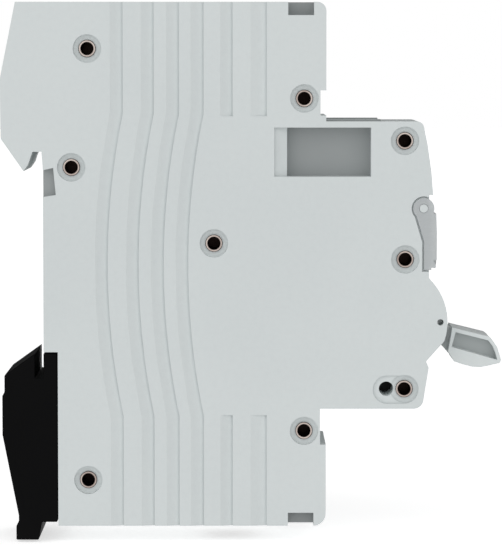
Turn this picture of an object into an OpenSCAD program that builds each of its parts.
// Miniature circuit breaker, single pole, for a 35 mm DIN rail.
// X runs from the rail (0) to the toggle, Z is up, and Y is the width of the module.
// The origin is the middle of the rail seat: rail front plane at X = 0, rail centre line at Z = 0.

/* [Module] */
// Width of one module on the rail
module_w = 18; // [17:0.5:20]
// Thickness of the side walls of the shells
wall = 1.6; // [1.4:0.1:1.8]
// Depth of the sawtooth ribs in the side faces
rib_depth = 0.5; // [0.3:0.1:0.7]
// Depth of the coupling pocket in each side face
pocket_depth = 3.2; // [2:0.1:3.2]

/* [Rivets] */
// Shank diameter of the semi-tubular rivets
rivet_d = 2.3; // [2:0.1:2.4]
// Bore in the rolled end of the rivets
rivet_bore = 1.9; // [1.2:0.1:1.9]
// Depth of that bore
rivet_drilled = 6; // [3:0.5:12]
// Diameter of the rivet's head
rivet_head = 3.6; // [2.8:0.1:3.8]
// Counterbore that the rolled rivet end sits in
counterbore_d = 4.4; // [4:0.1:4.8]

/* [Toggle] */
// Width of the toggle handle
handle_w = 9.6; // [9:0.1:10.4]
// Radius of the toggle drum
drum_r = 7.3; // [6.8:0.1:7.4]
// Width of the toggle drum
drum_w = 7; // [6:0.5:7]

/* [Terminals] */
// Outside diameter of the terminal screw thread
screw_d = 5; // [4.5:0.1:5]
// Diameter of the terminal screw head
screw_head_d = 6.6; // [6:0.1:6.6]

/* [Clip and arc chute] */
// Thickness of the sliding clip where it runs in its channel
clip_t = 2.05; // [1.9:0.05:2.05]
// Number of steel plates in the arc chute
chute_plates = 11; // [7:1:11]

/* [Hidden] */
half_w = module_w / 2;
inner_w = half_w - wall;
half_h = 40.75;              // half height of the housing
shoulder_x = 43.9;           // front face of the terminal shoulders
nose_top = 22.3;             // top of the 45 mm nose
nose_bottom = -22.4;
front_x = 59.9;              // front face at the label
eps = 0.01;
gap = 0.02;                  // half clearance of pins that are fixed in the shells

toggle_at = [53.5, -8.8];    // toggle pivot
cheek_r = 9.3;               // cheeks beside the toggle
crank_r = 5.5;               // crank of the link on the toggle
crank_rest = 65;
carrier_at = [31, -20];      // pivot of the contact carrier
carrier_pin_r = 15;
carrier_swing = 17.8;
link_at = toggle_at + crank_r * [cos(crank_rest), sin(crank_rest)];
link_end = carrier_at + carrier_pin_r * [cos(90 - carrier_swing / 2), sin(90 - carrier_swing / 2)];
trip_at = [33.5, 5];         // pivot of the trip lever
coil_z = 13.2;               // axis of the magnetic coil
cover_at = [59.05, 8.8];     // hinge of the label cover
pin_end = half_w - 1;        // ends of the fixed pins
toggle_pin_d = 2;
carrier_pin_d = 2.5;
trip_pin_d = 1.8;
wire_d = 1.1;                // link wire
link_y = 2;                  // plane of the link wire
tip_at = [24.5, -6.28];      // foot of the moving contact tip, and its tilt from +Z
tip_tilt = -119.1;
tip_t = 1.1;
terminal_z = 32;             // axis of the terminal screws
slot_half = drum_w / 2 + 0.2;

rivet_at = [[6.9, 33.55], [40.5, 25.85], [56.1, 19.3], [4.4, 15.2], [26.5, 3.4],
            [56.2, 0.9], [56.1, -19.3], [40.5, -25.85], [6.9, -33.55]];
coupling_hole = [53.3, -19.3];

plastic = [0.81, 0.83, 0.83];
black = [0.05, 0.05, 0.06];
steel = [0.6, 0.62, 0.65];
copper = [0.78, 0.45, 0.28];
brass = [0.8, 0.68, 0.38];
silver = [0.88, 0.88, 0.86];
fibre = [0.72, 0.62, 0.48];

// ---- helpers ----

function arc(c, r, a0, a1, n = 6) =
    [for (i = [0 : n]) let (a = a0 + (a1 - a0) * i / n) [c[0] + r * cos(a), c[1] + r * sin(a)]];

// A side-view outline (X, Z) given a thickness from y0 to y1
module slab(y0, y1) {
    translate([0, y1, 0]) rotate([90, 0, 0]) linear_extrude(y1 - y0) children();
}

module both_ways(y0, y1) {
    slab(y0, y1) children();
    slab(-y1, -y0) children();
}

module rod_y(at, d, y0, y1) {
    translate([at[0], y1, at[1]]) rotate([90, 0, 0]) cylinder(d = d, h = y1 - y0, $fn = 48);
}

module rod_x(y, z, d, x0, x1) {
    translate([x0, y, z]) rotate([0, 90, 0]) cylinder(d = d, h = x1 - x0, $fn = 48);
}

module disc(at, r) {
    translate(at) circle(r = r, $fn = 64);
}

module box(x0, x1, y0, y1, z0, z1) {
    translate([x0, y0, z0]) cube([x1 - x0, y1 - y0, z1 - z0]);
}

// A round wire along a list of points: rings square to the path, joined into one closed solid
module wire(path, d, sides = 8) {
    n = len(path);
    function unit(v) = v / norm(v);
    function along(i) = unit(path[min(i + 1, n - 1)] - path[max(i - 1, 0)]);
    function side_of(t) = unit(cross(t, abs(t[1]) > 0.9 ? [0, 0, 1] : [0, 1, 0]));
    rings = [for (i = [0 : n - 1])
        let (t = along(i), u = side_of(t), v = cross(t, u))
        for (k = [0 : sides - 1])
            path[i] + d / 2 * (cos(360 * k / sides) * u + sin(360 * k / sides) * v)];
    skin = [for (i = [0 : n - 2], k = [0 : sides - 1])
        let (a = i * sides + k, b = i * sides + (k + 1) % sides)
        each [[a, a + sides, b + sides], [a, b + sides, b]]];
    polyhedron(rings, concat(skin, [[for (k = [0 : sides - 1]) k]],
        [[for (k = [sides - 1 : -1 : 0]) (n - 1) * sides + k]]), convexity = 6);
}

// A coil about +Z from z = 0 to z = height
module coil(mean_r, wire_d, height, turns, steps = 12, sides = 6) {
    n = round(turns * steps);
    pitch = (height - wire_d) / turns;
    function point(t, a) = [
        (mean_r + wire_d / 2 * cos(a)) * cos(t),
        (mean_r + wire_d / 2 * cos(a)) * sin(t),
        wire_d / 2 + pitch * t / 360 + wire_d / 2 * sin(a)];
    rings = [for (i = [0 : n], k = [0 : sides - 1]) point(i * 360 / steps, 360 * k / sides)];
    skin = [for (i = [0 : n - 1], k = [0 : sides - 1])
        let (a = i * sides + k, b = i * sides + (k + 1) % sides)
        each [[a, b + sides, a + sides], [a, b, b + sides]]];
    polyhedron(rings, concat(skin, [[for (k = [sides - 1 : -1 : 0]) k]],
        [[for (k = [0 : sides - 1]) n * sides + k]]), convexity = 10);
}

// Points on a smooth curve through the given ones
function spline(p, steps = 5) = [for (i = [0 : len(p) - 2], s = [0 : steps - 1])
    let (a = p[max(i - 1, 0)], b = p[i], c = p[i + 1], d = p[min(i + 2, len(p) - 1)], t = s / steps)
    0.5 * (2 * b + (c - a) * t + (2 * a - 5 * b + 4 * c - d) * t * t + (3 * b - a - 3 * c + d) * t * t * t)];

// ---- housing ----

module housing_2d() {
    corner = 1.9;
    polygon(concat(
        [[-4.2, half_h], [-6.6, 28.8], [-6.5, 19.6], [-3, 14.6], [-2.3, 15.6], [-1.6, 17.6],
         [-0.2, 17.6], [0, 14.8], [0, -13.55], [2.2, -13.55], [2.2, -half_h]],
        arc([shoulder_x - corner, -half_h + corner], corner, -90, 0),
        [[shoulder_x, -28], [43, -28], [43, nose_bottom]],
        arc([57.6, nose_bottom + 1.5], 1.5, -90, -10),
        [[front_x, -16], [59.5, -15], [front_x - 1, -13], [front_x - 1, -5], [front_x, -2],
         [front_x, 10.9], [60.5, 10.9], [60.2, 14.5], [59.6, 18.7]],
        arc([57.95, nose_top - 1.1], 1.1, 8, 90),
        [[shoulder_x, nose_top], [shoulder_x, 23.2], [43, 23.2], [43, 27.1], [shoulder_x, 27.1]],
        arc([shoulder_x - 1.4, half_h - 1.4], 1.4, 0, 90)));
    intersection() {
        disc(toggle_at, cheek_r);
        polygon([[50, -15], [59.5, -15], [63, -11.05], [63, -1], [50, -1]]);
    }
}

module cavity_2d() {
    polygon([[-2.6, 39.15], [-4.9, 28.6], [-4.8, 20.2], [-3.4, 19.3], [1.7, 19.3], [1.7, -11.9],
        [3.85, -11.9], [3.85, -39.1], [42.2, -39.1], [42.2, -29.6], [41.4, -29.6], [41.4, -20.8],
        [57.2, -20.8], [58.1, -15.6], [58.1, 19.4], [57.2, 20.7], [41.4, 20.7], [41.4, 28.7],
        [42.2, 28.7], [42.2, 39.15]]);
}

// One sawtooth rib: the face ramps down towards +X and steps up sharply at the line
module ramp_2d(width) {
    polygon([[-width, -1], [-width, 0], [0, rib_depth], [0, -1]]);
}

module straight_rib(x, width, z0, z1) {
    translate([x, -half_w, z0]) linear_extrude(z1 - z0) ramp_2d(width);
}

// A long rib: straight at both ends, and bowed towards the rail across the middle
module long_rib(x_mid) {
    reach = 23.5;
    bow = 2.4;
    ramp_w = 2;
    big_r = (reach * reach + bow * bow) / (2 * bow);
    half_angle = asin(reach / big_r);
    lap = 0.2;
    length = half_h + 1 - reach + lap;
    for (z0 = [reach - lap, -half_h - 1]) straight_rib(x_mid + bow + lap / 10, ramp_w, z0, z0 + length);
    translate([x_mid + big_r, -half_w, 0]) rotate([90, 0, 180])
        rotate([0, 0, -half_angle]) rotate_extrude(angle = 2 * half_angle, $fn = 360)
            polygon([[big_r + ramp_w, -1], [big_r + ramp_w, 0], [big_r, rib_depth], [big_r, -1]]);
}

module side_ribs() {
    for (x = [10, 14.8, 18.7, 22.5]) long_rib(x);
    for (rib = [[29.4, 1.9], [34.7, 2.5]]) {
        straight_rib(rib[0], rib[1], 23.1, half_h + 1);
        straight_rib(rib[0], rib[1], -half_h - 1, -23.4);
    }
}

module cover_recess_2d() {
    disc(cover_at, 1.9);
    polygon([[57.4, 8.3], [58.8, 3.6], [58.8, -1], [62, -1], [62, 10.8], [59.1, 10.5]]);
}

// The near half of the housing, from its side face to the joint face at Y = 0
module shell_half() {
    difference() {
        union() {
            difference() {
                slab(-half_w, 0) housing_2d();
                slab(-inner_w, 1) cavity_2d();
            }
            for (p = rivet_at) rod_y(p, 4.6, -half_w + 1, 0);
            rod_y(coupling_hole, 4, -half_w + 1, 0);
            rod_y(toggle_at, 4.4, -half_w + 1, -slot_half - 0.1);
            rod_y(carrier_at, 4.6, -half_w + 1, -3.8);
            rod_y(trip_at, 4, -half_w + 1, -3.9);
            // inside of the coupling pocket
            box(34.6, 52.4, -half_w + 1, -half_w + pocket_depth + 1.1, 12.2, 22.6);
            // behind the corner notches, and the walls of the terminal chambers
            for (s = [-1, 1]) {
                box(36.6, 42.5, -half_w + 1, -4.3, s > 0 ? 37.3 : -39.4, s > 0 ? 39.4 : -37.3);
                box(20.4, 21.6, -half_w + 1, 0, s > 0 ? 27 : -39.4, s > 0 ? 39.4 : -27);
            }
            // stop for the clip spring
            box(0.3, 2.3, -1, 0, -37, -35.2);
        }
        side_ribs();
        for (p = rivet_at) {
            rod_y(p, rivet_d + 0.1, -half_w - 1, 1);
            rod_y(p, counterbore_d, -half_w - 1, -half_w + 0.8);
        }
        // oval recess round the lowest rivet and the plain coupling hole
        slab(-half_w - 1, -half_w + 0.4) {
            disc([56.1, -19.4], 2.2);
            disc([53.4, -19.4], 2.2);
            polygon([[53.4, -21.6], [56.1, -21.6], [56.1, -17.2], [53.4, -17.2]]);
        }
        rod_y(coupling_hole, 2.27, -half_w - 1, -2);
        rod_y([61.7, -8.9], 1, -half_w - 1, 1);
        // pocket with a sloping shelf at its rail end
        translate([35.85, -half_w, 13.75]) linear_extrude(7.6) polygon([[0, -1], [0, 0.5],
            [2, 1.1], [2, pocket_depth], [15, pocket_depth], [15, -1]]);
        slab(-half_w - 1, -half_w + 1)
            polygon([[-1, 14.6], [0, 14.75], [1.6, 15.1], [2, 10.9], [0, 10.6], [-1, 10.4]]);
        for (z = [38.7, -half_h - 1]) box(38, 42, -half_w - 1, -half_w + 3.5, z, z + half_h + 1 - 38.7);
        // toggle slot between the cheeks
        slab(-slot_half, 1) {
            disc(toggle_at, drum_r + 0.35);
            polygon([[toggle_at[0], -2.2], [64, -2.2], [64, -15.1], [toggle_at[0], -15.1]]);
        }
        // label recess and the seats of the cover's arms
        box(59.3, 61, -inner_w, 1, -0.9, 10.9);
        difference() {
            slab(-half_w - 1, -half_w + 0.7) cover_recess_2d();
            rod_y(cover_at, 1.3, -half_w + 0.15, 1);
        }
        // blind holes for the pins
        rod_y(toggle_at, toggle_pin_d + 2 * gap, -pin_end, 1);
        rod_y(carrier_at, carrier_pin_d + 2 * gap, -pin_end, 1);
        rod_y(trip_at, trip_pin_d + 2 * gap, -pin_end, 1);
        // screw holes in the shoulders and wire openings in the ends
        for (s = [-1, 1]) {
            rod_x(0, s * terminal_z, 7.2, 41, 45);
            box(25.2, 32.6, -4.3, 1, s > 0 ? 38 : -42, s > 0 ? 42 : -38);
        }
        // access to the calibration screw, and the slot for the key of the clip
        translate([45.5, -4.5, -24]) cylinder(d = 2.6, h = 4, $fn = 32);
        box(2, 4, -1.7, 1, -31.5, -19.4);
    }
}

module near_shell() {
    color(plastic) shell_half();
}

module far_shell() {
    color(plastic) mirror([0, 1, 0]) shell_half();
}

// Semi-tubular rivets: a solid shank, drilled and rolled over at the near end, with a low head at the far end
module shell_rivets() {
    lip = half_w - 0.5;
    color(copper) for (p = rivet_at) translate([p[0], 0, p[1]]) rotate([90, 0, 0]) difference() {
        union() {
            cylinder(d = rivet_d, h = 2 * lip, center = true, $fn = 48);
            translate([0, 0, lip])
                rotate_extrude($fn = 48) translate([rivet_d / 2, 0]) circle(r = 0.2, $fn = 24);
            translate([0, 0, -lip - 0.2]) cylinder(d1 = rivet_head - 0.6, d2 = rivet_head, h = 0.4, $fn = 48);
        }
        translate([0, 0, lip + 0.5 - rivet_drilled]) cylinder(d = rivet_bore, h = rivet_drilled + 1, $fn = 48);
    }
}

// ---- toggle and link ----

module handle_2d() {
    polygon([[63.8, -10.05], [69.5, -11.45], [70, -11.85], [70.9, -13.15], [71.3, -14.45], [71.5, -15.15],
        [71.3, -15.65], [69.6, -16.05], [68.3, -16.3], [67, -16.25], [65.4, -15.85], [64.1, -15.4],
        [63.15, -13.75], [63.5, -11.95]]);
}

module handle_pocket_2d() {
    polygon([[64.35, -10.8], [69.5, -12.1], [70.2, -13.05], [70.6, -14.05], [70.9, -15.15], [63.75, -13.1]]);
}

module toggle() {
    skin = 1.4;
    color(plastic) difference() {
        union() {
            slab(-handle_w / 2, handle_w / 2) handle_2d();
            slab(-2.8, 2.8) polygon([[59.2, -9.5], [63.8, -10.2], [63.8, -14.8], [62.6, -13.4],
                [61.8, -12.6], [59.4, -11.2]]);
            // the front of the drum closes the slot at both ends of the throw
            slab(-drum_w / 2, drum_w / 2) difference() {
                disc(toggle_at, drum_r);
                disc(toggle_at, drum_r - skin);
                polygon(concat([toggle_at], arc(toggle_at, 12, 48, 265, 12)));
            }
            slab(-1, 1) difference() {
                disc(toggle_at, drum_r - 0.5);
                polygon(concat([toggle_at + [-3, -3]], arc(toggle_at, 12, 130, 255, 8)));
            }
            rod_y(toggle_at, 5, -drum_w / 2, drum_w / 2);
        }
        both_ways(handle_w / 2 - 1.8, handle_w / 2 + 1) handle_pocket_2d();
        rod_y(toggle_at, toggle_pin_d + 0.1, -6, 6);
        rod_y(link_at, wire_d + 0.1, -2, 2);
    }
}

module toggle_pivot_pin() {
    color(steel) rod_y(toggle_at, toggle_pin_d, -pin_end + 0.1, pin_end - 0.1);
}

module toggle_spring() {
    color(steel) translate([toggle_at[0], -1.15, toggle_at[1]]) rotate([90, 0, 0]) coil(3.05, 0.55, 2.1, 2.75);
}

// Bent wire between the toggle crank and the contact carrier
module link_wire() {
    bend = 0.8;
    reach_y = -0.95;
    dx = link_end - link_at;
    u = dx / norm(dx);
    a = link_at + bend * u;
    b = link_end - bend * u;
    color(steel) wire([[link_at[0], reach_y, link_at[1]], [link_at[0], link_y - bend, link_at[1]],
        [link_at[0] + 0.25 * u[0], link_y - 0.25, link_at[1] + 0.25 * u[1]],
        [a[0], link_y, a[1]], [b[0], link_y, b[1]],
        [link_end[0] - 0.25 * u[0], link_y - 0.25, link_end[1] - 0.25 * u[1]],
        [link_end[0], link_y - bend, link_end[1]], [link_end[0], reach_y, link_end[1]]], wire_d, 10);
}

// ---- contacts ----

module carrier_2d() {
    disc(carrier_at, 3.6);
    disc(link_end, 2.1);
    polygon([[27.5, -19.5], [26.5, -12.5], [28.2, -9.5], [31.2, -5], [35.4, -5.5], [35.4, -10], [34.5, -20]]);
}

module contact_carrier() {
    slot = wire_d + 0.12;
    color(black) difference() {
        union() {
            slab(-1, 1) carrier_2d();
            rod_y(carrier_at, 4.4, -3.5, 3.5);
        }
        rod_y(carrier_at, carrier_pin_d + 0.1, -5, 5);
        // the link runs in an upright slot, which takes up the rise of the two cranks
        rod_y(link_end + [0, 0.42], slot, -2, 2);
        rod_y(link_end - [0, 0.12], slot, -2, 2);
        box(link_end[0] - slot / 2, link_end[0] + slot / 2, -2, 2, link_end[1] - 0.12, link_end[1] + 0.42);
    }
}

module carrier_pivot_pin() {
    color(steel) rod_y(carrier_at, carrier_pin_d, -pin_end + 0.1, pin_end - 0.1);
}

module contact_spring() {
    color(steel) translate([carrier_at[0], 3.4, carrier_at[1]]) rotate([90, 0, 0]) coil(2.75, 0.6, 2.2, 2.75);
}

module moving_contact_arm() {
    color(copper) slab(-3.2, -1.05)
        polygon([[28.8, -17.2], [27.9, -12.4], [23.9, -5.2], [25.1, -3.9], [29.8, -10.6], [31.6, -16.6]]);
}

module moving_contact_tip() {
    color(silver) translate([tip_at[0], -2.1, tip_at[1]]) rotate([0, tip_tilt, 0])
        cylinder(d = 2.1, h = tip_t, $fn = 32);
}

module fixed_contact_rail() {
    color(copper) slab(-5, 2.5)
        polygon([[8.4, 6.4], [16.2, 6.4], [17.2, 5.4], [17.2, -8.74], [20.1, -11.46], [19.35, -12.26],
            [17, -9.7], [16.5, -9.2], [6.4, -8.9], [6.4, -8.1], [16.1, -8.4], [16.1, 5.3], [8.4, 5.3]]);
}

module fixed_contact_tip() {
    color(silver) translate([19.15, -2.1, -10.5]) rotate([0, 43.2, 0]) cylinder(d = 2.4, h = 0.75, $fn = 32);
}

// ---- trip mechanism ----

module trip_lever() {
    pad = [32.2, coil_z];
    color(black) difference() {
        union() {
            slab(-1.4, 1.4) {
                disc(trip_at, 2.2);
                disc(pad, 1);
                polygon([[31.6, 5.5], [31.3, 12.8], [33.1, 13.4], [35.4, 5.2]]);
                polygon([[32, 4], [31, -1], [32.2, -1.6], [34.8, 3.6]]);
            }
            // tail that the bimetal strip pushes
            slab(-3.7, -1) polygon([[34.5, 4], [38.6, 3], [38.8, 4.2], [35, 6]]);
            slab(-6.2, -3.7) polygon([[36.6, 3.5], [38.6, 3], [38.8, 4.2], [36.8, 5.1]]);
        }
        rod_y(trip_at, trip_pin_d + 0.1, -8, 8);
    }
}

module trip_lever_pin() {
    color(steel) rod_y(trip_at, trip_pin_d, -pin_end + 0.1, pin_end - 0.1);
}

module trip_spring() {
    color(steel) translate([trip_at[0], 3.7, trip_at[1]]) rotate([90, 0, 0]) coil(1.75, 0.45, 1.9, 3);
}

module coil_bobbin() {
    color(black) translate([9.6, 0, coil_z]) rotate([0, 90, 0]) difference() {
        union() {
            cylinder(d = 6.4, h = 14.8, $fn = 64);
            cylinder(d = 11.6, h = 1, $fn = 64);
            translate([0, 0, 13.8]) cylinder(d = 11.6, h = 1, $fn = 64);
        }
        translate([0, 0, -1]) cylinder(d = 5.1, h = 17, $fn = 64);
    }
}

module coil_winding() {
    color(copper) translate([10.7, 0, coil_z]) rotate([0, 90, 0]) coil(4.1, 1.45, 12.6, 7.5, 20, 8);
}

module plunger() {
    color(steel) difference() {
        union() {
            rod_x(0, coil_z, 4.7, 10.4, 17.6);
            rod_x(0, coil_z, 1.3, 17.5, 31);
        }
        rod_x(0, coil_z, 2.4, 10, 11.4);
    }
}

module plunger_spring() {
    color(steel) translate([17.7, 0, coil_z]) rotate([0, 90, 0]) coil(1.5, 0.4, 1.6, 3);
}

module fixed_core() {
    color(steel) difference() {
        rod_x(0, coil_z, 5, 22, 26.4);
        rod_x(0, coil_z, 1.8, 21, 27);
    }
}

module magnet_yoke() {
    t = 1.1;
    color(steel) difference() {
        union() {
            box(8.3, 8.3 + t, -4.6, 4.6, 7.4, 20.7);
            box(8.3, 24.6 + t, -4.6, 4.6, 19.6, 20.7);
            box(24.6, 24.6 + t, -4.6, 4.6, 7.4, 20.7);
        }
        rod_x(0, coil_z, 5.1, 24, 26.5);
        rod_x(0, coil_z, 3, 7, 10);
    }
}

module bimetal_strip() {
    color(brass) box(39.6, 40.5, -6.4, -2.6, -19.5, 4.6);
}

module bimetal_bracket() {
    color(steel) difference() {
        slab(-6.9, -2.2) polygon([[38.2, -23.2], [39.5, -23.2], [39.5, -17.6], [40.6, -19.6],
            [40.6, -20.6], [47, -17.6], [47, -16.6], [40.8, -16.6], [38.2, -16.6]]);
        box(39.5, 40.6, -7, -2, -20, -16);
    }
}

module calibration_screw() {
    color(brass) translate([45.5, -4.5, -22.1]) difference() {
        union() {
            cylinder(d = 2.5, h = 1.4, $fn = 32);
            cylinder(d = 1.8, h = 3.2, $fn = 32);
        }
        translate([-2, -0.25, -1]) cube([4, 0.5, 1.6]);
    }
}

// Flexible copper leads, held along their whole route
module contact_braid() {
    color(copper) wire(spline([[39.4, -4.6, -1.5], [38.3, -4.6, -1.5], [37, -4.7, -5], [36.9, -5.2, -11],
        [35.5, -5.8, -16], [32, -6, -16.4], [30.2, -4.9, -15.6], [30, -3.6, -15]]), 1.5, 8);
}

module terminal_braid() {
    color(copper) wire(spline([[38.1, -4.6, -21.4], [36.9, -4.6, -21.5], [35.6, -4.2, -22.6],
        [34.6, -3.4, -24], [33.3, -3.2, -24.4]]), 1.4, 8);
}

// ---- arc chute ----

module arc_chute_plates() {
    bottom = -24;
    pitch = 13.6 / (chute_plates - 1);
    color(steel) for (i = [0 : chute_plates - 1]) translate([0, 0, bottom + i * pitch])
        linear_extrude(0.8) polygon([[6.6, -6.1], [6.6, 6.1], [16.6, 6.1], [16.6, 3.4], [11.2, 0.7],
            [11.2, -0.7], [16.6, -3.4], [16.6, -6.1]]);
}

module arc_chute_sides() {
    color(fibre) both_ways(6.15, 7) polygon([[6.4, -25], [16.9, -25], [16.9, -7.5], [6.4, -7.5]]);
}

module arc_vent_grille() {
    color(fibre) difference() {
        box(5.2, 6, -6.8, 6.8, -25, -7.5);
        for (y = [-4.2, 0, 4.2], z = [-23 : 3.4 : -9]) box(5, 6.2, y - 1, y + 1, z - 0.9, z + 0.9);
    }
}

module lower_arc_runner() {
    color(steel) slab(-2, 4)
        polygon([[6.2, -26.4], [24, -26.4], [27.5, -25.6], [37.9, -25.6], [37.9, -24.8], [27.2, -24.8],
            [24, -25.6], [6.2, -25.6]]);
}

// ---- terminals: the lower one mirrors the upper one ----

module lower() {
    mirror([0, 0, 1]) children();
}

module terminal_plate(tail, y1 = 4.1) {
    color(copper) difference() {
        union() {
            box(31.9, 33.2, -4.1, 4.1, 26.4, 37.6);
            slab(-4.1, y1) polygon(tail);
        }
        for (z = [29.5 : 1.2 : 35]) translate([31.8, -5, z]) rotate([0, 45, 0]) cube([0.4, 10, 0.4]);
    }
}

module terminal_clamp() {
    color(brass) difference() {
        union() {
            box(23.6, 25.2, -5.6, 5.6, 27.6, 36.4);
            box(33.5, 35.5, -5.6, 5.6, 27.6, 36.4);
            for (y = [-5.6, 4.5]) box(23.6, 35.5, y, y + 1.1, 28.4, 35.6);
        }
        rod_x(0, terminal_z, screw_d + 0.1, 30, 37);
    }
}

module terminal_screw() {
    turns = 10;
    pitch = 0.5;
    root = 0.25;
    color(steel) translate([33.3, 0, terminal_z]) rotate([0, 90, 0]) difference() {
        rotate_extrude($fn = 48) polygon(concat([[0, 0], [screw_d / 2 - 0.6, 0]],
            [for (i = [0 : turns - 1]) each [[screw_d / 2 - root, 0.4 + i * pitch],
                [screw_d / 2, 0.4 + (i + 0.5) * pitch]]],
            [[screw_d / 2 - root, 5.6], [screw_head_d / 2 - 0.3, 5.6], [screw_head_d / 2, 5.9],
             [screw_head_d / 2, 8.2], [screw_head_d / 2 - 0.4, 8.6], [0, 8.6]]));
        translate([-5, -0.5, 7.2]) cube([10, 1, 3]);
        translate([-0.5, -2, 6.8]) cube([1, 4, 3]);
        translate([-2, -0.5, 6.8]) cube([4, 1, 3]);
    }
}

module upper_terminal_plate() {
    terminal_plate([[31.9, 27], [31.9, 23.9], [10, 23.9], [10, 22.9], [33.2, 22.9], [33.2, 27]]);
}

module upper_terminal_clamp() {
    terminal_clamp();
}

module upper_terminal_screw() {
    terminal_screw();
}

module lower_terminal_plate() {
    lower() terminal_plate([[31.9, 27], [31.9, 23.6], [33.2, 23.6], [33.2, 27]], -2.3);
}

module lower_terminal_clamp() {
    lower() terminal_clamp();
}

module lower_terminal_screw() {
    lower() terminal_screw();
}

// ---- rail clip ----

module clip_2d() {
    polygon([[clip_t, -13.75], [clip_t, -40.2], [-0.35, -40.2], [-0.65, -41.9], [-0.9, -43], [-4.4, -43],
        [-4.4, -40.7], [-4, -40.6], [-4, -39.2], [-6.5, -26.5], [-6.5, -20.4], [-6.15, -19.8],
        [-6.15, -17.2], [-1.4, -13.8], [-1.4, -17.6], [-0.05, -17.6], [-0.05, -13.75]]);
}

module din_clip() {
    color(black) difference() {
        union() {
            slab(-half_w + 0.3, half_w - 0.3) clip_2d();
            box(1.9, 4.2, -1.4, 1.4, -26, -20);
            box(4, 4.9, -3, 3, -26, -20);
        }
        // window for the spring and its stop
        box(-0.2, 3, -1.35, 1.35, -37.4, -28);
        // weight-saving pockets in the grip
        for (y = [-5, 5]) box(-4.4, -1.4, y - 2.4, y + 2.4, -37, -24);
    }
}

module din_clip_spring() {
    color(steel) translate([1.1, 0, -35]) coil(0.76, 0.4, 6.9, 5, 16, 8);
}

// ---- label ----

module label_cover() {
    plate_x = 60.15;
    plate_t = 0.95;
    color([0.8, 0.83, 0.84, 0.6]) difference() {
        union() {
            slab(-half_w + 0.12, half_w - 0.12)
                polygon([[plate_x, -0.4], [plate_x + 0.75, -0.45], [plate_x + plate_t, 0.2],
                    [plate_x + plate_t, 4.9], [plate_x + 0.85, 8], [plate_x, 8]]);
            both_ways(half_w - 0.6, half_w - 0.12) {
                disc(cover_at, 1.65);
                polygon([[57.65, 8.5], [59.1, 3.7], [59.1, -0.75], [plate_x + 0.1, -0.75],
                    [plate_x + 0.5, 8.8], cover_at]);
            }
        }
        rod_y(cover_at, 1.4, -half_w - 1, half_w + 1);
        // finger notches at the ends of the lower edge
        both_ways(half_w - 1.6, half_w + 1)
            polygon([[60.6, 0.75], [62, 0.75], [62, -0.2], [60.95, -0.1]]);
    }
}

module label_card() {
    color([0.95, 0.95, 0.93]) box(59.35, 59.65, -inner_w + 0.1, inner_w - 0.1, -0.7, 10.6);
}

near_shell();
far_shell();
shell_rivets();
toggle();
toggle_pivot_pin();
toggle_spring();
link_wire();
contact_carrier();
carrier_pivot_pin();
contact_spring();
moving_contact_arm();
moving_contact_tip();
fixed_contact_rail();
fixed_contact_tip();
trip_lever();
trip_lever_pin();
trip_spring();
coil_bobbin();
coil_winding();
plunger();
plunger_spring();
fixed_core();
magnet_yoke();
bimetal_strip();
bimetal_bracket();
calibration_screw();
contact_braid();
terminal_braid();
arc_chute_plates();
arc_chute_sides();
arc_vent_grille();
lower_arc_runner();
upper_terminal_plate();
upper_terminal_clamp();
upper_terminal_screw();
lower_terminal_plate();
lower_terminal_clamp();
lower_terminal_screw();
din_clip();
din_clip_spring();
label_cover();
label_card();
